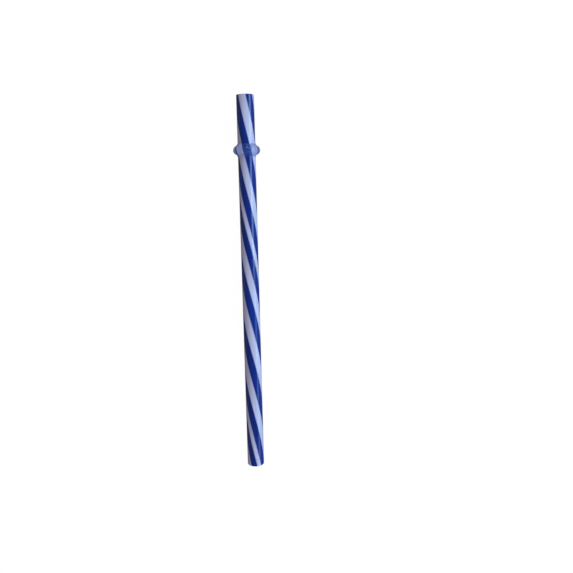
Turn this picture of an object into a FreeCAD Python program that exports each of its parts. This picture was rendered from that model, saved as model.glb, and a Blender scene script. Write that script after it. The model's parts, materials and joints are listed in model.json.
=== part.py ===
import FreeCAD, Part
import math
import os

import Sketcher

# A reusable plastic drinking straw with a soft stopper ring.
# The straw is a rigid extruded tube, open from end to end, with rounded rims.
# The ring is a moulded soft bead with a thin lip at each side. It is stretched over the tube near
# the mouth end, where it keeps the straw from sliding down through the hole of a lid.
# The straw lies as it comes to rest on a table: on the lower edge of its bottom end and on the
# crest of the ring, which is soft and has a small flat spot there, so that it doesn't roll.
# The tube runs along X, the mouth end towards +X, and the table is at Z = 0.
# Each piece is drawn about its own X axis and then laid on the table.

# Every driving size, in millimetres and degrees: its name, its value and what it measures.
DRIVING_SIZES = [
    ("tube_length", 197.0, "tube, end to end"),
    ("tube_diameter", 9.0, "tube, outside"),
    ("tube_wall", 0.9, "thickness of the tube's plastic"),
    ("rim_round", 0.3, "round of all four edges of the tube's two ends"),
    ("mouth_length", 27.2, "tube from its mouth end to the middle of the ring"),
    ("ring_clearance", 0.02, "what is left between the ring's bore and the tube it grips"),
    ("crest_rise", 2.4, "crest of the ring above the tube"),
    ("crest_radius", 2.3, "round of the ring's crest"),
    ("flank_angle", 55.0, "slope of the ring's flanks against the tube"),
    ("foot_radius", 0.6, "hollow where a flank runs out into its lip"),
    ("lip_thickness", 0.25, "thin lip at each side of the ring"),
    ("lip_length", 0.25, "plain stretch of each lip, past the hollow"),
    ("lip_round", 0.12, "round of the outer edge of each lip"),
    ("flat_depth", 0.07, "how far the soft crest gives where it lies on the table"),
]

TUBE_NODE = "straw_tube"
RING_NODE = "stopper_ring"

# How a sketch numbers the points of its lines and arcs, its own two axes and its origin.
START, END, CENTRE = range(1, 4)
VERTICAL_AXIS, HORIZONTAL_AXIS = range(-2, 0)
ORIGIN = (HORIZONTAL_AXIS, START)


def make_sheet(doc):
    """Puts every driving size in one sheet, a row each, under its own alias."""
    sheet = doc.addObject("Spreadsheet::Sheet", "Sizes")
    for row, (alias, value, meaning) in enumerate(DRIVING_SIZES, start=1):
        sheet.set(f"A{row}", alias)
        sheet.set(f"B{row}", str(value))
        sheet.setAlias(f"B{row}", alias)
        sheet.set(f"C{row}", meaning)
    doc.recompute()
    return sheet


def make_rest(doc):
    """Works out how the straw lies on the table, from the driving sizes.

    The table touches two rounds of the outline: the outer edge of the bottom rim, and the
    ring's crest less the depth of its flat spot. The centres of the two rounds lie span apart
    along the tube and lift apart across it.
    """
    rest = doc.addObject("App::VarSet", "Rest")
    results = [
        ("App::PropertyLength", "ring_place", "bottom end to the ring's middle, along the tube"),
        ("App::PropertyLength", "span", "rim's round to the crest's round, along the tube"),
        ("App::PropertyDistance", "lift", "rim's round to the crest's round, across the tube"),
        ("App::PropertyAngle", "tilt", "rise of the tube towards its mouth end"),
        ("App::PropertyDistance", "start_x", "place of the bottom end's middle"),
        ("App::PropertyDistance", "start_z", "height of the bottom end's middle"),
        ("App::PropertyLength", "table_gap", "ring's centre down to the table"),
    ]
    for kind, name, meaning in results:
        rest.addProperty(kind, name, "Rest", meaning)
    rest.setExpression("ring_place", "Sizes.tube_length * 1 mm - Sizes.mouth_length * 1 mm")
    rest.setExpression("span", "ring_place - Sizes.rim_round * 1 mm")
    rest.setExpression("lift", "(Sizes.crest_rise - Sizes.crest_radius + Sizes.rim_round) * 1 mm")
    rest.setExpression(
        "tilt",
        "atan(lift / span) + asin((Sizes.crest_radius - Sizes.flat_depth - Sizes.rim_round) * 1 mm"
        " / sqrt(span ^ 2 + lift ^ 2))",
    )
    # The bounding box is centred on X = 0 and stands on Z = 0.
    rest.setExpression("start_x", "-Sizes.tube_length / 2 * 1 mm * cos(tilt)")
    rest.setExpression(
        "start_z",
        "(Sizes.tube_diameter / 2 - Sizes.rim_round) * 1 mm * cos(tilt)"
        " + Sizes.rim_round * 1 mm * (1 - sin(tilt))",
    )
    rest.setExpression("table_gap", "start_z + ring_place * sin(tilt)")
    doc.recompute()
    return rest


def origin_plane(body, role):
    """Finds one of a body's own origin planes by its role."""
    return next(feature for feature in body.Origin.OriginFeatures if feature.Role == role)


def new_body(doc, node):
    body = doc.addObject("PartDesign::Body", node)
    body.Label = node
    return body


def new_sketch(body, name, plane_role):
    sketch = body.newObject("Sketcher::SketchObject", name)
    sketch.AttachmentSupport = [(origin_plane(body, plane_role), "")]
    sketch.MapMode = "FlatFace"
    return sketch


def relate(sketch, kind, *where):
    """Adds one relation without a size, such as tangent or vertical."""
    sketch.addConstraint(Sketcher.Constraint(kind, *where))


def measure(sketch, name, formula, kind, *where):
    """Adds one dimension and ties it to the sheet. Its drawn value is the last in where."""
    index = sketch.addConstraint(Sketcher.Constraint(kind, *where))
    sketch.renameConstraint(index, name)
    sketch.setExpression(f"Constraints.{name}", formula)


def lay_down(body, along_tube):
    """Lays a body on the table, whose own X runs from the straw's bottom end to its mouth end.

    along_tube is the formula of the distance from the bottom end to the body's origin.
    """
    body.setExpression("Placement.Rotation.Pitch", "-Rest.tilt")
    body.setExpression("Placement.Base.x", f"Rest.start_x + {along_tube} * cos(Rest.tilt)")
    body.setExpression("Placement.Base.z", f"Rest.start_z + {along_tube} * sin(Rest.tilt)")


def make_tube(doc, size):
    """The tube: a round section with its bore, drawn out to length, and all rims rounded."""
    body = new_body(doc, TUBE_NODE)
    section = new_sketch(body, "tube_section", "YZ_Plane")
    facing = FreeCAD.Vector(0, 0, 1)
    outside_diameter = size["tube_diameter"]
    bore_diameter = size["tube_diameter"] - 2 * size["tube_wall"]
    outside = section.addGeometry(Part.Circle(FreeCAD.Vector(), facing, outside_diameter / 2))
    bore = section.addGeometry(Part.Circle(FreeCAD.Vector(), facing, bore_diameter / 2))
    relate(section, "Coincident", outside, CENTRE, *ORIGIN)
    relate(section, "Coincident", bore, CENTRE, *ORIGIN)
    measure(section, "outside", "Sizes.tube_diameter", "Diameter", outside, outside_diameter)
    measure(section, "bore", "Sizes.tube_diameter - 2 * Sizes.tube_wall",
            "Diameter", bore, bore_diameter)

    extrusion = body.newObject("PartDesign::Pad", "tube_extrusion")
    extrusion.Profile = section
    extrusion.setExpression("Length", "Sizes.tube_length")
    doc.recompute()

    rims = [
        f"Edge{number}"
        for number, edge in enumerate(extrusion.Shape.Edges, start=1)
        if isinstance(edge.Curve, Part.Circle)
    ]
    rounds = body.newObject("PartDesign::Fillet", "rim_rounds")
    rounds.Base = (extrusion, rims)
    rounds.setExpression("Radius", "Sizes.rim_round")
    body.Tip = rounds
    lay_down(body, "0 mm")
    doc.recompute()
    return body


def draw_half_ring(sketch, size):
    """Draws half of the ring's section, from its middle plane along to the end of one lip.

    The sketch's horizontal is the distance from the ring's middle plane, along the tube, and its
    vertical is the distance from the tube's axis. The outline is the bore, the end of the lip,
    its round and its outside, the hollow foot, the flank, the crest and the middle plane's cut.
    """
    slope = math.radians(size["flank_angle"])
    tube_radius = size["tube_diameter"] / 2
    bore = tube_radius + size["ring_clearance"]
    lip = bore + size["lip_thickness"]
    lip_round = size["lip_round"]
    crest = tube_radius + size["crest_rise"]
    crest_centre = crest - size["crest_radius"]
    foot_centre = lip + size["foot_radius"]

    flank_top_along = size["crest_radius"] * math.sin(slope)
    flank_top_out = crest_centre + size["crest_radius"] * math.cos(slope)
    flank_foot_out = foot_centre - size["foot_radius"] * math.cos(slope)
    flank_foot_along = flank_top_along + (flank_top_out - flank_foot_out) / math.tan(slope)
    foot_along = flank_foot_along + size["foot_radius"] * math.sin(slope)
    lip_end = foot_along + size["lip_length"]

    def line(start_along, start_out, end_along, end_out):
        start = FreeCAD.Vector(start_along, start_out)
        end = FreeCAD.Vector(end_along, end_out)
        return sketch.addGeometry(Part.LineSegment(start, end))

    def arc(centre_along, centre_out, radius, start_angle, end_angle):
        centre = FreeCAD.Vector(centre_along, centre_out)
        circle = Part.Circle(centre, FreeCAD.Vector(0, 0, 1), radius)
        return sketch.addGeometry(Part.ArcOfCircle(circle, start_angle, end_angle))

    straight_up = math.pi / 2
    straight_down = 3 * math.pi / 2
    bore_line = line(0, bore, lip_end, bore)
    end_line = line(lip_end, bore, lip_end, lip - lip_round)
    lip_arc = arc(lip_end - lip_round, lip - lip_round, lip_round, 0, straight_up)
    lip_line = line(lip_end - lip_round, lip, foot_along, lip)
    foot_arc = arc(foot_along, foot_centre, size["foot_radius"],
                   straight_down - slope, straight_down)
    flank_line = line(flank_top_along, flank_top_out, flank_foot_along, flank_foot_out)
    crest_arc = arc(0, crest_centre, size["crest_radius"], straight_up - slope, straight_up)
    middle_line = line(0, crest, 0, bore)

    relate(sketch, "Coincident", bore_line, END, end_line, START)
    relate(sketch, "Tangent", end_line, END, lip_arc, START)
    relate(sketch, "Tangent", lip_arc, END, lip_line, START)
    relate(sketch, "Tangent", lip_line, END, foot_arc, END)
    relate(sketch, "Tangent", foot_arc, START, flank_line, END)
    relate(sketch, "Tangent", flank_line, START, crest_arc, START)
    relate(sketch, "Coincident", crest_arc, END, middle_line, START)
    relate(sketch, "Coincident", middle_line, END, bore_line, START)
    relate(sketch, "Horizontal", bore_line)
    relate(sketch, "Vertical", end_line)
    relate(sketch, "Horizontal", lip_line)
    relate(sketch, "Vertical", middle_line)
    relate(sketch, "PointOnObject", bore_line, START, VERTICAL_AXIS)
    relate(sketch, "PointOnObject", crest_arc, CENTRE, VERTICAL_AXIS)

    measure(sketch, "bore_radius", "Sizes.tube_diameter / 2 + Sizes.ring_clearance",
            "DistanceY", *ORIGIN, bore_line, START, bore)
    measure(sketch, "crest_reach", "Sizes.tube_diameter / 2 + Sizes.crest_rise",
            "DistanceY", *ORIGIN, crest_arc, END, crest)
    measure(sketch, "lip_thickness", "Sizes.lip_thickness",
            "DistanceY", bore_line, END, lip_line, END, size["lip_thickness"])
    measure(sketch, "lip_length", "Sizes.lip_length",
            "DistanceX", lip_line, END, bore_line, END, size["lip_length"])
    measure(sketch, "crest_radius", "Sizes.crest_radius", "Radius", crest_arc, size["crest_radius"])
    measure(sketch, "foot_radius", "Sizes.foot_radius", "Radius", foot_arc, size["foot_radius"])
    measure(sketch, "lip_round", "Sizes.lip_round", "Radius", lip_arc, lip_round)
    measure(sketch, "flank_slope", "-Sizes.flank_angle * 1 deg", "Angle", flank_line, -slope)


def press_flat(body):
    """Takes off what the ring would sink into the table: the small flat spot that it lies on.

    The block is as long and wide as the ring. Turned back by the tube's tilt, its top is level
    with the table once the ring lies there.
    """
    table = body.newObject("PartDesign::SubtractiveBox", "table_under_ring")
    ring_reach = "(Sizes.tube_diameter / 2 + Sizes.crest_rise)"
    table.setExpression("Length", f"2 * {ring_reach}")
    table.setExpression("Width", f"2 * {ring_reach}")
    table.setExpression("Height", ring_reach)
    table.setExpression("Placement.Rotation.Pitch", "Rest.tilt")
    table.setExpression(
        "Placement.Base.x",
        "-(Rest.table_gap + Height) * sin(Rest.tilt) - Length / 2 * cos(Rest.tilt)",
    )
    table.setExpression("Placement.Base.y", "-Width / 2")
    table.setExpression(
        "Placement.Base.z",
        "-(Rest.table_gap + Height) * cos(Rest.tilt) + Length / 2 * sin(Rest.tilt)",
    )
    return table


def make_ring(doc, size):
    """The stopper ring: half its section turned about the axis, mirrored, and its flat spot."""
    body = new_body(doc, RING_NODE)
    section = new_sketch(body, "ring_section", "XZ_Plane")
    draw_half_ring(section, size)
    doc.recompute()

    half = body.newObject("PartDesign::Revolution", "half_ring")
    half.Profile = section
    half.ReferenceAxis = (section, ["H_Axis"])
    half.Angle = 360
    doc.recompute()

    whole = body.newObject("PartDesign::Mirrored", "whole_ring")
    whole.Originals = [half]
    whole.MirrorPlane = (origin_plane(body, "YZ_Plane"), [""])
    body.Tip = whole
    doc.recompute()

    body.Tip = press_flat(body)
    lay_down(body, "Rest.ring_place")
    doc.recompute()
    return body


def check_document(doc, nodes):
    """Stops when a feature has failed or a sub-part isn't one sound solid."""
    for item in doc.Objects:
        if "Invalid" in item.State or "Error" in item.State:
            raise RuntimeError(f"{item.Label} failed: {item.State}")
    for item in doc.findObjects("Sketcher::SketchObject"):
        if not item.FullyConstrained:
            raise RuntimeError(f"{item.Label} is not fully constrained")
    for node in nodes:
        shape = node.Shape
        if shape.isNull() or not shape.isValid() or len(shape.Solids) != 1:
            raise RuntimeError(f"{node.Label} is not one sound solid")


def write_parts(nodes):
    os.makedirs("parts", exist_ok=True)
    for node in nodes:
        node.Shape.exportStep(os.path.join("parts", f"{node.Label}.step"))
        box = node.Shape.optimalBoundingBox(True, False)
        print(f"{node.Label}: volume {node.Shape.Volume:.2f} mm3, "
              f"X {box.XMin:.3f} to {box.XMax:.3f}, Y {box.YMin:.3f} to {box.YMax:.3f}, "
              f"Z {box.ZMin:.3f} to {box.ZMax:.3f}")


def main():
    doc = FreeCAD.newDocument("drinking_straw")
    size = {alias: value for alias, value, meaning in DRIVING_SIZES}
    make_sheet(doc)
    rest = make_rest(doc)
    nodes = [make_tube(doc, size), make_ring(doc, size)]
    doc.recompute()
    check_document(doc, nodes)
    write_parts(nodes)
    print(f"tilt at rest {rest.tilt.Value:.4f} degrees")


main()
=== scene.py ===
# %% [markdown]
# # A striped drinking straw with a soft stopper ring
#
# The straw is a rigid plastic tube, open at both ends, with four blue and four white stripes
# that wind round it. A soft clear ring grips it near the mouth end and stops it in a lid's hole.
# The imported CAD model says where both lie: on a table, the tube resting on its bottom rim and on
# the ring. This script dresses the two solids in smooth meshes and materials and lights them.

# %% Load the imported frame
import json
import math

import bmesh
import bpy
from mathutils import Matrix, Vector


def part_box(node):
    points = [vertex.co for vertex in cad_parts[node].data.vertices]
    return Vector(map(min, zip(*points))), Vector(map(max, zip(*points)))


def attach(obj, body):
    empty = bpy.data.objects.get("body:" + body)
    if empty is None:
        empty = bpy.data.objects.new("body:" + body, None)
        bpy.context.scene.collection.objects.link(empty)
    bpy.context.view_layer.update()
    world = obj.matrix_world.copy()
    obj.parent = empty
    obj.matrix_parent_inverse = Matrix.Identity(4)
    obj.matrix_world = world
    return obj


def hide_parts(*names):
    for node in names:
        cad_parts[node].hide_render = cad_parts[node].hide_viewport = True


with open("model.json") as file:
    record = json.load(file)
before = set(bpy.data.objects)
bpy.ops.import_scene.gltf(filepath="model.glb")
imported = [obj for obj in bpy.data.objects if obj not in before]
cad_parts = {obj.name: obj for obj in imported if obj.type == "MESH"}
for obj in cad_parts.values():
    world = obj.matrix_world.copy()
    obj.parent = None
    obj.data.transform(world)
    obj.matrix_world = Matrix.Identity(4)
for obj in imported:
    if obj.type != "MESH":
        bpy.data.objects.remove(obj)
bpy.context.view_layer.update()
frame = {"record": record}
MM = 0.001

# %% [markdown]
# ## Where the tube lies
#
# The record's mounts are measured on the solids, so they give the tube's axis, its outside and
# its bore with nothing guessed here. The bore's length leaves out the rounds of the two rims, so
# both rounds are added to it to get the whole tube. Blender works in metres and every size of
# this object is best said in millimetres, so the factor MM turns the one into the other.

# %% Read the tube's axis and sizes from the record's mounts
RIM_ROUND = 0.3 * MM

mounts = {mount["name"]: mount for mount in frame["record"]["mounts"]}
bore = mounts["drinking_bore"]
shank = mounts["lid_shank"]
tube_middle = Vector(bore["pos_m"])
tube_axis = Vector(bore["axis"]).normalized()
bore_radius = bore["dims"]["r_mm"] * MM
tube_radius = shank["dims"]["r_mm"] * MM
tube_length = bore["dims"]["length_mm"] * MM + 2 * RIM_ROUND
mouth_end = tube_middle + tube_axis * tube_length / 2
tube_tilt = math.atan2(tube_axis.z, tube_axis.x)
print(f"tube {tube_length / MM:.1f} mm long and {2 * tube_radius / MM:.1f} mm thick,"
      f" tilted {math.degrees(tube_tilt):.2f} degrees")

# %% [markdown]
# Both pieces are round about the tube's axis, and round things are easiest to make upright about
# Blender's own Z. One matrix then lays them down: it turns Z to the tube's axis and X to the top
# of the tube, and moves the origin to the mouth end. Distances below the mouth end are negative.

# %% Make the matrix that lays an upright piece down on the tube's axis
sideways = Vector((0, 1, 0))
tube_top = sideways.cross(tube_axis) * -1
laid_down = Matrix((tube_top, tube_axis.cross(tube_top), tube_axis)).transposed().to_4x4()
laid_down.translation = mouth_end
print("top of the tube points to", [round(value, 4) for value in tube_top])

# %% [markdown]
# ## Finishing a piece
#
# Once a bmesh lies where it belongs, it becomes a piece in the same few steps each time: its
# normals are turned outward, its faces are shaded smooth, and it gets its material. The object
# stays at the origin with its place in its mesh, as the CAD nodes do.

# %% A helper that turns a bmesh into a finished piece
def make_piece(name, shape, material):
    """Makes a laid-down bmesh into a smooth mesh object with its material."""
    bmesh.ops.recalc_face_normals(shape, faces=shape.faces)
    for face in shape.faces:
        face.smooth = True
    mesh = bpy.data.meshes.new(name)
    shape.to_mesh(mesh)
    shape.free()
    mesh.materials.append(material)
    piece = bpy.data.objects.new(name, mesh)
    bpy.context.scene.collection.objects.link(piece)
    print(name, len(mesh.vertices), "vertices", len(mesh.polygons), "faces")
    return piece


# %% [markdown]
# ## Colours and nodes
#
# Colours are easiest to say as sRGB hex values, the way a picture editor shows them. Blender's
# sockets want linear light, so one function turns the one into the other. A second one adds a
# node with its settings and links, and a third starts a material with nothing but its output.

# %% Helpers for colours and shader nodes
def colour(hex_value):
    """Turns an sRGB hex value such as '#1A2B3C' into linear red, green, blue and alpha."""
    channels = [int(hex_value[place:place + 2], 16) / 255 for place in (1, 3, 5)]
    linear = [
        value / 12.92 if value <= 0.04045 else ((value + 0.055) / 1.055) ** 2.4
        for value in channels
    ]
    return (*linear, 1)


def add_node(tree, kind, inputs=None, **settings):
    """Adds a node. A socket given as an input is linked, and anything else is set."""
    node = tree.nodes.new(kind)
    for name, value in settings.items():
        setattr(node, name, value)
    for name, value in (inputs or {}).items():
        if isinstance(value, bpy.types.NodeSocket):
            tree.links.new(value, node.inputs[name])
        else:
            node.inputs[name].default_value = value
    return node


def new_material(name):
    """Starts a node material and returns it with its tree and its output node."""
    material = bpy.data.materials.new(name)
    material.use_nodes = True
    material.node_tree.nodes.clear()
    output = add_node(material.node_tree, "ShaderNodeOutputMaterial")
    return material, material.node_tree, output


# %% [markdown]
# ## Patterns that follow the tube
#
# The stripes and the plastic's faint flaws all belong to the tube's axis, which is tilted a
# little in the scene. A Mapping node of type Texture undoes that: it reads the object's own
# coordinates and gives them back in millimetres from the mouth end, with X along the axis. The
# patterns stay on the surface from whichever side they are seen.

# %% Coordinates in millimetres along the tube's axis
def along_tube(tree):
    """Adds nodes for the place on a piece, measured from the mouth end with X along the axis."""
    place = add_node(tree, "ShaderNodeTexCoord")
    on_axis = add_node(tree, "ShaderNodeMapping", {
        "Vector": place.outputs["Object"],
        "Location": mouth_end,
        "Rotation": (0, -tube_tilt, 0),
        "Scale": (MM, MM, MM),
    }, vector_type="TEXTURE")
    return on_axis.outputs["Vector"]


# %% [markdown]
# ## The stripes
#
# The real tube is extruded from two plastics at once, blue and milky white, through a die that
# turns, so each stripe goes through the whole wall and winds round the tube. The die doesn't
# turn quite evenly: the number of turns from the mouth end to a place at share u of the tube's
# length is u * (a + u * (b + u * c)), which comes to one turn in about 120 mm. The eight stripes
# differ in width, as the real ones do.

# %% Sizes of the stripes
FULL_TURN = 2 * math.pi
DEGREES_IN_TURN = 360
TWIST_A = 1.5425
TWIST_B = 0.3673
TWIST_C = -0.2652
# Blue and white slices in turn. The first one is blue. It is cut in two by the ends of the
# colour ramp, so it is there with one half at each end.
SLICE_DEGREES = [25.5, 50.1, 52.6, 44.5, 46.8, 27.0, 43.7, 44.3, 25.5]
# Turns from the tube's top to the middle of that slice at the mouth end.
FIRST_SLICE_TURN = 0.9292
# How far the two plastics run into each other at a border.
BORDER_WIDTH = 0.55 * MM
print("slices add up to", round(sum(SLICE_DEGREES), 1), "degrees")
print("one turn in", round(tube_length / MM / (TWIST_A + TWIST_B + TWIST_C), 1), "mm")

# %% [markdown]
# To draw the stripes, a Vector Rotate node turns each place back about the axis by as much as
# the die had turned there, which takes the twist out. Three Multiply Add nodes work out the
# turns, one for each bracket of the formula above.

# %% Take the twist out
# The ramp below has its middle at angle nought, and its two ends meet half a turn away.
RAMP_MIDDLE = 0.5


def untwist(tree, place):
    """Adds nodes that turn a place back about the axis by the twist, and returns the result."""
    split = add_node(tree, "ShaderNodeSeparateXYZ", {"Vector": place})
    share = add_node(tree, "ShaderNodeMath", {
        0: split.outputs["X"],
        1: -MM / tube_length,
    }, operation="MULTIPLY")
    turns = TWIST_C
    for term in (TWIST_B, TWIST_A, RAMP_MIDDLE - FIRST_SLICE_TURN):
        bracket = add_node(tree, "ShaderNodeMath", {
            0: share.outputs["Value"],
            1: turns,
            2: term,
        }, operation="MULTIPLY_ADD")
        turns = bracket.outputs["Value"]
    back_turn = add_node(tree, "ShaderNodeMath", {0: turns, 1: -FULL_TURN},
                         operation="MULTIPLY")
    turned_back = add_node(tree, "ShaderNodeVectorRotate", {
        "Vector": place,
        "Angle": back_turn.outputs["Value"],
    }, rotation_type="X_AXIS")
    return turned_back.outputs["Vector"]


# %% [markdown]
# With the twist out, the stripes are plain sectors of a circle, like slices of a cake. The angle
# about the axis runs over a colour ramp, and the ramp has two stops close together at each
# border, one for the slice that ends there and one for the slice that begins.

# %% Draw the slices with a colour ramp
BLUE_HERE = (1, 1, 1, 1)
WHITE_HERE = (0, 0, 0, 1)


def slice_mask(tree, place):
    """Adds a ramp over the angle about the axis and returns its colour, which picks the blue."""
    across = add_node(tree, "ShaderNodeSeparateXYZ", {"Vector": place})
    angle = add_node(tree, "ShaderNodeMath", {
        0: across.outputs["Y"],
        1: across.outputs["Z"],
    }, operation="ARCTAN2")
    ramp_place = add_node(tree, "ShaderNodeMath", {
        0: angle.outputs["Value"],
        1: 1 / FULL_TURN,
        2: RAMP_MIDDLE,
    }, operation="MULTIPLY_ADD")
    ramp = add_node(tree, "ShaderNodeValToRGB", {"Fac": ramp_place.outputs["Value"]})

    tones = (BLUE_HERE, WHITE_HERE)
    half_border = BORDER_WIDTH / (FULL_TURN * tube_radius) / 2
    stops = ramp.color_ramp.elements
    stops.remove(stops[1])
    stops[0].position = 0
    stops[0].color = tones[0]
    border = 0
    for number, degrees in enumerate(SLICE_DEGREES[:-1]):
        border += degrees / DEGREES_IN_TURN
        before = stops.new(border - half_border)
        before.color = tones[number % 2]
        after = stops.new(border + half_border)
        after.color = tones[(number + 1) % 2]
    return ramp.outputs["Color"]


# %% [markdown]
# ## The tube's plastic
#
# Hard styrene or acrylic plastic, extruded and polished by the die: smooth and glossy, with
# faint lines along the stripes where the die dragged, and with the blue a little streaky where
# the colour is not quite stirred in. The white is milky, with a faint blue cast all over. The
# lines follow the stripes, so their noise reads the untwisted coordinates too, squeezed along the
# tube. Scales are counts for each millimetre round the tube, which gives a drag line each 0.45 mm
# and a streak of colour each 1.4 mm.

# %% Make the striped plastic
NOISE_SQUEEZE = 0.02
DRAG_LINES = 2.2
COLOUR_STREAKS = 0.7
DRAG_DEPTH = 0.02 * MM


def striped_plastic():
    """Makes the blue and white plastic of the tube."""
    material, tree, output = new_material("extruded_striped_styrene")
    untwisted = untwist(tree, along_tube(tree))
    drawn_out = add_node(tree, "ShaderNodeMapping", {
        "Vector": untwisted,
        "Scale": (NOISE_SQUEEZE, 1, 1),
    })
    die_lines = add_node(tree, "ShaderNodeTexNoise", {
        "Vector": drawn_out.outputs["Vector"],
        "Scale": DRAG_LINES,
        "Detail": 3.0,
        "Roughness": 0.6,
    })
    streaks = add_node(tree, "ShaderNodeTexNoise", {
        "Vector": drawn_out.outputs["Vector"],
        "Scale": COLOUR_STREAKS,
        "Detail": 2.0,
    })
    blue = add_node(tree, "ShaderNodeMix", {
        "Factor": streaks.outputs["Fac"],
        "A": colour("#021C66"),
        "B": colour("#123FA0"),
    }, data_type="RGBA")
    white = add_node(tree, "ShaderNodeMix", {
        "Factor": streaks.outputs["Fac"],
        "A": colour("#BCC2DE"),
        "B": colour("#DCE2F8"),
    }, data_type="RGBA")
    striped = add_node(tree, "ShaderNodeMix", {
        "Factor": slice_mask(tree, untwisted),
        "A": white.outputs["Result"],
        "B": blue.outputs["Result"],
    }, data_type="RGBA")
    roughness = add_node(tree, "ShaderNodeMapRange", {
        "Value": die_lines.outputs["Fac"],
        "To Min": 0.1,
        "To Max": 0.18,
    })
    drag = add_node(tree, "ShaderNodeBump", {
        "Height": die_lines.outputs["Fac"],
        "Strength": 0.4,
        "Distance": DRAG_DEPTH,
    })
    plastic = add_node(tree, "ShaderNodeBsdfPrincipled", {
        "Base Color": striped.outputs["Result"],
        "Roughness": roughness.outputs["Result"],
        "IOR": 1.49,
        "Specular IOR Level": 0.45,
        "Normal": drag.outputs["Normal"],
    })
    tree.links.new(plastic.outputs["BSDF"], output.inputs["Surface"])
    return material


tube_plastic = striped_plastic()
print(tube_plastic.name, len(tube_plastic.node_tree.nodes), "nodes")

# %% [markdown]
# ## The tube
#
# Two circles, bridged into a flat washer and extruded, give a tube with a real bore. A section
# spun about the axis would do as well, but the washer needs no drawing.

# %% Build the tube upright, its mouth end at the origin
TUBE_SEGMENTS = 128

tube = bmesh.new()
bmesh.ops.create_circle(tube, radius=tube_radius, segments=TUBE_SEGMENTS)
bmesh.ops.create_circle(tube, radius=bore_radius, segments=TUBE_SEGMENTS)
washer = bmesh.ops.bridge_loops(tube, edges=tube.edges[:])
grown = bmesh.ops.extrude_face_region(tube, geom=washer["faces"], use_keep_orig=True)
far_end = [item for item in grown["geom"] if isinstance(item, bmesh.types.BMVert)]
bmesh.ops.translate(tube, verts=far_end, vec=(0, 0, -tube_length))
print("tube has", len(tube.faces), "faces before its rims are rounded")

# %% [markdown]
# Both ends of the real tube are trimmed and tumbled, so none of its rims is sharp. All four
# circular edges, outside and inside, are found by how they run and rounded with a bevel.

# %% Round the four circular edges
RIM_SEGMENTS = 5
RIM_TOLERANCE = RIM_ROUND / 10


def runs_round(edge):
    """Whether an edge runs round the axis: both its ends are as high and as far out."""
    start, end = (vertex.co for vertex in edge.verts)
    same_height = abs(start.z - end.z) < RIM_TOLERANCE
    same_reach = abs(start.xy.length - end.xy.length) < RIM_TOLERANCE
    return same_height and same_reach


rims = [edge for edge in tube.edges if runs_round(edge)]
bmesh.ops.bevel(tube, geom=rims, offset=RIM_ROUND, offset_type="OFFSET", affect="EDGES",
                segments=RIM_SEGMENTS, profile=0.5, material=-1, clamp_overlap=False)
print(len(rims), "rim edges rounded")

# %% [markdown]
# Smooth shading blends the normals of the rounded rims into the faces next to them, and those
# faces run the whole length of the tube. A cut close to each rim keeps the blend short, and a
# few more in between keep the faces from being very long and thin.

# %% Cut the long walls across and finish the tube
WALL_CUTS = 12
CUT_MARGIN = 2 * RIM_ROUND

cut_heights = [-CUT_MARGIN - (tube_length - 2 * CUT_MARGIN) * step / (WALL_CUTS - 1)
               for step in range(WALL_CUTS)]
for height in cut_heights:
    everything = tube.verts[:] + tube.edges[:] + tube.faces[:]
    bmesh.ops.bisect_plane(tube, geom=everything, plane_co=(0, 0, height), plane_no=(0, 0, 1))
bmesh.ops.transform(tube, matrix=laid_down, verts=tube.verts)
straw = make_piece("striped_tube", tube, tube_plastic)
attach(straw, "root")
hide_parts("straw_tube")

# %% [markdown]
# ## The ring's plastic
#
# Soft clear plastic, such as silicone or soft vinyl, moulded: its surface is smooth but not
# polished, so it lets the stripes through as through frosted glass, and the edges that are
# looked at along the surface turn dark. A blue matt shader is mixed in by a small share. It is
# partly the real cloudiness, which makes the ring hazy rather than clear, and partly painted
# reflection: its blue stands in for the bluish window light mirrored on the ring. The clouds
# are about 1.7 mm across and the waves of the moulded skin about 1.1 mm.

# %% Make the hazy soft plastic
# The share of the blue matt shader below: partly real haze, partly a painted bluish reflection.
HAZE_AND_PAINTED_REFLECTION_SHARE = 0.12
CLOUDS = 0.6
SKIN_WAVES = 0.9
SKIN_RELIEF = 0.05 * MM


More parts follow.
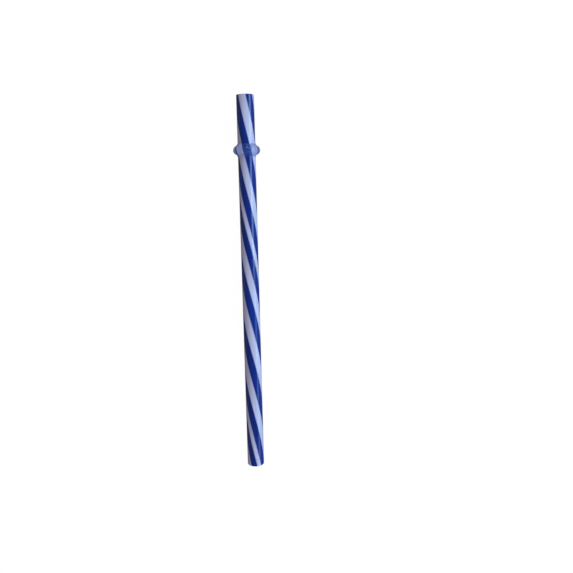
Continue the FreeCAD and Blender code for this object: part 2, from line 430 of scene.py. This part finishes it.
def hazy_plastic_with_painted_reflection():
    """Makes the clear, slightly cloudy plastic of the ring, with a painted bluish reflection in
    its haze.
    """
    material, tree, output = new_material("moulded_clear_silicone")
    place = along_tube(tree)
    clouds = add_node(tree, "ShaderNodeTexNoise", {
        "Vector": place,
        "Scale": CLOUDS,
        "Detail": 4.0,
    })
    waves = add_node(tree, "ShaderNodeTexNoise", {
        "Vector": place,
        "Scale": SKIN_WAVES,
        "Detail": 1.0,
    })
    tint = add_node(tree, "ShaderNodeMix", {
        "Factor": clouds.outputs["Fac"],
        "A": colour("#DCE8FA"),
        "B": colour("#EAF2FF"),
    }, data_type="RGBA")
    roughness = add_node(tree, "ShaderNodeMapRange", {
        "Value": clouds.outputs["Fac"],
        "To Min": 0.12,
        "To Max": 0.2,
    })
    skin = add_node(tree, "ShaderNodeBump", {
        "Height": waves.outputs["Fac"],
        "Strength": 0.1,
        "Distance": SKIN_RELIEF,
    })
    clear = add_node(tree, "ShaderNodeBsdfPrincipled", {
        "Base Color": tint.outputs["Result"],
        "Roughness": roughness.outputs["Result"],
        "IOR": 1.41,
        "Transmission Weight": 1.0,
        "Normal": skin.outputs["Normal"],
    })
    # Painted reflection: this blue matt shader is partly real cloudiness, and its blue stands in
    # for bluish window light mirrored on the ring.
    haze_and_painted_reflection = add_node(tree, "ShaderNodeBsdfDiffuse", {
        "Color": colour("#4C90E8"),
        "Normal": skin.outputs["Normal"],
    })
    hazy_with_painted_reflection = add_node(tree, "ShaderNodeMixShader", {
        0: HAZE_AND_PAINTED_REFLECTION_SHARE,
        1: clear.outputs["BSDF"],
        2: haze_and_painted_reflection.outputs["BSDF"],
    })
    depth = add_node(tree, "ShaderNodeVolumeAbsorption", {
        "Color": colour("#C2C4D6"),
        "Density": 100.0,
    })
    tree.links.new(hazy_with_painted_reflection.outputs["Shader"], output.inputs["Surface"])
    tree.links.new(depth.outputs["Volume"], output.inputs["Volume"])
    return material


ring_plastic = hazy_plastic_with_painted_reflection()
print(ring_plastic.name, len(ring_plastic.node_tree.nodes), "nodes")

# %% [markdown]
# ## The ring
#
# A moulded bead with a thin lip at each side. Its section is made of straight runs and round
# arcs that meet without a kink: the lip's outer edge, the hollow foot, the straight flank and
# the round crest. A flank that leaves the tube at an angle touches the foot's round and the
# crest's round at that same angle, and that gives the height of the foot's centre.
#
# The bore is a hair narrower than the tube. Soft plastic that clings to a tube has no air under
# it, so light goes straight from the one into the other. A gap there, however thin, would bend
# the stripes like a lens.

# %% Work out the ring's section
RING_CLING = 0.05 * MM
RING_CLEARANCE = 0.02 * MM
LIP_THICKNESS = 0.25 * MM
LIP_LENGTH = 0.25 * MM
LIP_ROUND = 0.12 * MM
FOOT_RADIUS = 0.6 * MM
CREST_RADIUS = 2.3 * MM
FLANK_ANGLE = math.radians(55)

ring_low, ring_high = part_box("stopper_ring")
crest_reach = (ring_high.y - ring_low.y) / 2
ring_middle = (ring_low + ring_high) / 2
ring_below_mouth = (mouth_end.x - ring_middle.x) / tube_axis.x
ring_bore = tube_radius - RING_CLING
lip_reach = tube_radius + RING_CLEARANCE + LIP_THICKNESS
crest_centre = crest_reach - CREST_RADIUS
flank_top = crest_centre + CREST_RADIUS * math.cos(FLANK_ANGLE)
flank_foot = lip_reach + FOOT_RADIUS * (1 - math.cos(FLANK_ANGLE))
foot_height = (CREST_RADIUS + FOOT_RADIUS) * math.sin(FLANK_ANGLE)
foot_height += (flank_top - flank_foot) / math.tan(FLANK_ANGLE)
lip_height = foot_height + LIP_LENGTH
print(f"ring {2 * crest_reach / MM:.2f} mm across and {2 * lip_height / MM:.2f} mm high,"
      f" {ring_below_mouth / MM:.2f} mm below the mouth end")

# %% [markdown]
# A vertex that is spun about a point leaves an arc behind, so each round of the section is one
# short spin, and the straight runs are single edges. Half of the section is drawn like this,
# mirrored for the other half, and the whole line is spun about the axis into the ring.

# %% Draw half of the section, from the bore out to the crest
QUARTER_TURN = FULL_TURN / 4
LIP_STEPS = 4
FOOT_STEPS = 6
CREST_STEPS = 12


def draw_arc(shape, start, centre_reach, centre_height, angle, steps):
    """Spins a vertex about a centre in the section's plane and returns the arc's last vertex."""
    arc = bmesh.ops.spin(shape, geom=[start], cent=(centre_reach, 0, centre_height),
                         axis=(0, 1, 0), angle=angle, steps=steps)
    return next(item for item in arc["geom_last"] if isinstance(item, bmesh.types.BMVert))


def draw_run(shape, start, reach, height):
    """Draws a straight run of the section from a vertex and returns its last vertex."""
    end = shape.verts.new((reach, 0, height))
    shape.edges.new((start, end))
    return end


ring = bmesh.new()
lip_round_reach = lip_reach - LIP_ROUND
lip_round_height = lip_height - LIP_ROUND
pen = ring.verts.new((ring_bore, 0, lip_height))
pen = draw_run(ring, pen, lip_round_reach, lip_height)
pen = draw_arc(ring, pen, lip_round_reach, lip_round_height, QUARTER_TURN, LIP_STEPS)
pen = draw_run(ring, pen, lip_reach, foot_height)
pen = draw_arc(ring, pen, lip_reach + FOOT_RADIUS, foot_height, -FLANK_ANGLE, FOOT_STEPS)
pen = draw_run(ring, pen, flank_top, CREST_RADIUS * math.sin(FLANK_ANGLE))
pen = draw_arc(ring, pen, crest_centre, 0, FLANK_ANGLE, CREST_STEPS)
print("the crest lies", round(pen.co.x / MM, 3), "mm from the axis")

# %% Mirror it, close it along the bore and spin it into a ring
RING_SEGMENTS = 144
SAME_PLACE = 0.001 * MM

bmesh.ops.mirror(ring, geom=ring.verts[:] + ring.edges[:], axis="Z", merge_dist=SAME_PLACE)
bore_corners = [vertex for vertex in ring.verts if len(vertex.link_edges) == 1]
ring.edges.new(bore_corners)
bmesh.ops.spin(ring, geom=ring.verts[:] + ring.edges[:], cent=(0, 0, 0), axis=(0, 0, 1),
               angle=FULL_TURN, steps=RING_SEGMENTS, use_merge=True)
print("ring has", len(ring.faces), "faces")

# %% [markdown]
# The soft crest gives a little where the ring lies on the table, which leaves a small flat spot
# at height zero. The laid-down ring is cut there and the hole is closed with one flat face.

# %% Lay the ring down, press its flat spot and finish it
bmesh.ops.translate(ring, verts=ring.verts, vec=(0, 0, -ring_below_mouth))
bmesh.ops.transform(ring, matrix=laid_down, verts=ring.verts)
everything = ring.verts[:] + ring.edges[:] + ring.faces[:]
pressed = bmesh.ops.bisect_plane(ring, geom=everything, plane_co=(0, 0, 0), plane_no=(0, 0, 1),
                                 clear_inner=True)
cut_edges = [item for item in pressed["geom_cut"] if isinstance(item, bmesh.types.BMEdge)]
bmesh.ops.holes_fill(ring, edges=cut_edges)
stopper = make_piece("stopper_ring_soft", ring, ring_plastic)
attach(stopper, "root")
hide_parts("stopper_ring")

# %% [markdown]
# ## The table
#
# The picture shows the straw cut out on white. The table is a matt one, and for the camera
# most of its brightness comes from a plain white glow, so that it is white while the straw's
# soft shadow still shows faintly. The glow is hidden from the light that falls on the straw.
# What shows through the clear ring has the whole glow. The tube's gloss mirrors only a small
# share of it: steep sides mirror a table strongly, and a fully white one would pale the stripes.

# %% Make the table's paint and its glow
GLOW_SHARE = 0.78
GLOW_STRENGTH = 1.26
MIRRORED_SHARE = 0.1

table_paint, table_tree, table_output = new_material("matt_white_table")
table_path = add_node(table_tree, "ShaderNodeLightPath")
table_mirrored = add_node(table_tree, "ShaderNodeMath", {
    0: table_path.outputs["Is Glossy Ray"],
    1: MIRRORED_SHARE,
}, operation="MULTIPLY")
table_direct = add_node(table_tree, "ShaderNodeMath", {
    0: table_path.outputs["Is Camera Ray"],
    1: table_path.outputs["Is Transmission Ray"],
}, operation="MAXIMUM")
table_seen = add_node(table_tree, "ShaderNodeMath", {
    0: table_direct.outputs["Value"],
    1: table_mirrored.outputs["Value"],
}, operation="MAXIMUM")
glow_share = add_node(table_tree, "ShaderNodeMath", {
    0: table_seen.outputs["Value"],
    1: GLOW_SHARE,
}, operation="MULTIPLY")
paint = add_node(table_tree, "ShaderNodeBsdfDiffuse", {"Color": colour("#747478")})
glow = add_node(table_tree, "ShaderNodeEmission", {
    "Color": colour("#FFFFFF"),
    "Strength": GLOW_STRENGTH,
})
glowing_paint = add_node(table_tree, "ShaderNodeMixShader", {
    0: glow_share.outputs["Value"],
    1: paint.outputs["BSDF"],
    2: glow.outputs["Emission"],
})
table_tree.links.new(glowing_paint.outputs["Shader"], table_output.inputs["Surface"])
print(table_paint.name, len(table_tree.nodes), "nodes")

# %% [markdown]
# The table's top is one large square. It lies a hair below the straw, so that the flat spot of
# the ring and the table are never in the same plane, where a render can't tell which is on top.

# %% Lay the table under the straw
TABLE_SIZE = 4.0
BELOW_STRAW = 0.01 * MM

table = bmesh.new()
bmesh.ops.create_grid(table, x_segments=1, y_segments=1, size=TABLE_SIZE / 2,
                      matrix=Matrix.Translation((0, 0, -BELOW_STRAW)))
table_mesh = bpy.data.meshes.new("table_top")
table.to_mesh(table_mesh)
table.free()
table_mesh.materials.append(table_paint)
table_top = bpy.data.objects.new("table_top", table_mesh)
bpy.context.scene.collection.objects.link(table_top)
print("table at", round(table_mesh.vertices[0].co.z / MM, 4), "mm")

# %% [markdown]
# ## The lamps
#
# The straw is lit as by a window on the picture's right, in three panes. The tube mirrors them as
# the pale streak down its right, and its left stays in soft shade. One more light stands beyond
# each end, where the round of the tube doesn't mirror it to the camera, so it brings out the
# stripes without washing out the blue. The one at the mouth end is much the stronger. A last,
# weak one lies low at the back on the left, so that the far side isn't lost in the dark.

# %% A helper that hangs a soft lamp
def soft_light(name, place, aim, size, watts, tint):
    """Adds a rectangular area light at a place, turned to face its aim. All is in metres."""
    lamp = bpy.data.lights.new(name, "AREA")
    lamp.shape = "RECTANGLE"
    lamp.size, lamp.size_y = size
    lamp.energy = watts
    lamp.color = colour(tint)[:3]
    holder = bpy.data.objects.new(name, lamp)
    holder.location = place
    holder.rotation_euler = (Vector(aim) - Vector(place)).to_track_quat("-Z", "Y").to_euler()
    bpy.context.scene.collection.objects.link(holder)
    print(name, watts, "W")


# %% Hang the window's panes and the other lamps
soft_light("window_mouth_pane", place=(0.2, -0.525, 0.31), aim=(0.2, 0, 0),
           size=(0.14, 0.3), watts=0.8, tint="#B0DCFF")
soft_light("window_middle_pane", place=(0.02, -0.467, 0.392), aim=(0.02, 0, 0),
           size=(0.2, 0.26), watts=1.05, tint="#B0D8FF")
soft_light("window_bottom_pane", place=(-0.31, -0.525, 0.31), aim=(-0.31, 0, 0),
           size=(0.44, 0.26), watts=1.0, tint="#B0D8FF")
soft_light("mouth_end_light", place=(1.2, -0.5, 0.95), aim=(0, 0, 0),
           size=(2.0, 1.0), watts=13.5, tint="#ECEEFA")
soft_light("left_side_fill", place=(-1.2, 0.75, 0.35), aim=(0, 0, 0),
           size=(0.8, 0.5), watts=3.0, tint="#FFE0F4")
soft_light("bottom_end_light", place=(-1.2, -0.45, 0.95), aim=(0, 0, 0),
           size=(1.0, 0.8), watts=5.0, tint="#FFF4FF")

# %% [markdown]
# ## The room
#
# The room's own light is weak and even, with a trace of pink. The camera sees it as a plain
# white backdrop. Mirror images have that backdrop low over the table only, since the tube's
# gloss would turn grey under a white ceiling, and what shows through the clear ring has half of
# it from everywhere, or else the ring would look dark.

# %% Set up the room's light
ROOM_LIGHT = 0.15
THROUGH_SHARE = 0.5
BACKDROP_TOP = 0.1

world = bpy.data.worlds.new("studio")
world.use_nodes = True
room_tree = world.node_tree
room_tree.nodes.clear()
room_path = add_node(room_tree, "ShaderNodeLightPath")
direction = add_node(room_tree, "ShaderNodeTexCoord")
heights = add_node(room_tree, "ShaderNodeSeparateXYZ", {
    "Vector": direction.outputs["Generated"],
})
backdrop = add_node(room_tree, "ShaderNodeMapRange", {
    "Value": heights.outputs["Z"],
    "From Min": 0.0,
    "From Max": BACKDROP_TOP,
    "To Min": 1.0,
    "To Max": 0.0,
})
room_mirrored = add_node(room_tree, "ShaderNodeMath", {
    0: room_path.outputs["Is Glossy Ray"],
    1: backdrop.outputs["Result"],
}, operation="MULTIPLY")
room_through = add_node(room_tree, "ShaderNodeMath", {
    0: room_path.outputs["Is Transmission Ray"],
    1: THROUGH_SHARE,
}, operation="MULTIPLY")
room_direct = add_node(room_tree, "ShaderNodeMath", {
    0: room_path.outputs["Is Camera Ray"],
    1: room_through.outputs["Value"],
}, operation="MAXIMUM")
room_seen = add_node(room_tree, "ShaderNodeMath", {
    0: room_direct.outputs["Value"],
    1: room_mirrored.outputs["Value"],
}, operation="MAXIMUM")
backdrop_angle = math.degrees(math.asin(BACKDROP_TOP))
print("mirror images have the backdrop up to", round(backdrop_angle, 1), "degrees")

# %% [markdown]
# How much of the backdrop a ray sees then drives both the colour and the strength of the world:
# from the weak pinkish light of the room to plain white of strength 1.

# %% Give the room its colour and strength
room_colour = add_node(room_tree, "ShaderNodeMix", {
    "Factor": room_seen.outputs["Value"],
    "A": colour("#FFECF8"),
    "B": colour("#FFFFFF"),
}, data_type="RGBA")
room_strength = add_node(room_tree, "ShaderNodeMapRange", {
    "Value": room_seen.outputs["Value"],
    "To Min": ROOM_LIGHT,
    "To Max": 1.0,
})
background = add_node(room_tree, "ShaderNodeBackground", {
    "Color": room_colour.outputs["Result"],
    "Strength": room_strength.outputs["Result"],
})
add_node(room_tree, "ShaderNodeOutputWorld", {"Surface": background.outputs["Background"]})
bpy.context.scene.world = world
print("even light of strength", ROOM_LIGHT)

# %% [markdown]
# ## The camera
#
# The picture was taken from above, from nearer the mouth end than the bottom end: that end is
# nearer and a little wider, and both ends bulge away from the point under the camera. The place,
# the aim and the lens are those at which the ends, the ring, the taper and the bulges of the
# straw all fall where the picture has them.

# %% Place the camera
PICTURE_PIXELS = 573
LENS_PIXELS = 604.7
SENSOR_WIDTH = 36.0
PICTURE_TURN = math.radians(-1.181)
NEAREST_SEEN = 0.01
FARTHEST_SEEN = 20

camera_place = Vector((49.08, 1.32, 322.36)) * MM
camera_aim = Vector((0.35, -18.95, 5.8)) * MM
forward = (camera_aim - camera_place).normalized()
picture_top = Vector((math.cos(PICTURE_TURN), math.sin(PICTURE_TURN), 0))
rightward = forward.cross(picture_top).normalized()
upward = rightward.cross(forward)
camera_turn = Matrix((rightward, upward, -forward)).transposed().to_4x4()

camera_data = bpy.data.cameras.new("camera")
camera_data.sensor_width = SENSOR_WIDTH
camera_data.lens = LENS_PIXELS / PICTURE_PIXELS * SENSOR_WIDTH
camera_data.clip_start = NEAREST_SEEN
camera_data.clip_end = FARTHEST_SEEN
camera = bpy.data.objects.new("camera", camera_data)
camera.matrix_world = Matrix.Translation(camera_place) @ camera_turn
bpy.context.scene.collection.objects.link(camera)
bpy.context.scene.camera = camera
bpy.context.scene.view_settings.view_transform = "Standard"
print("lens", round(camera_data.lens, 2), "mm")
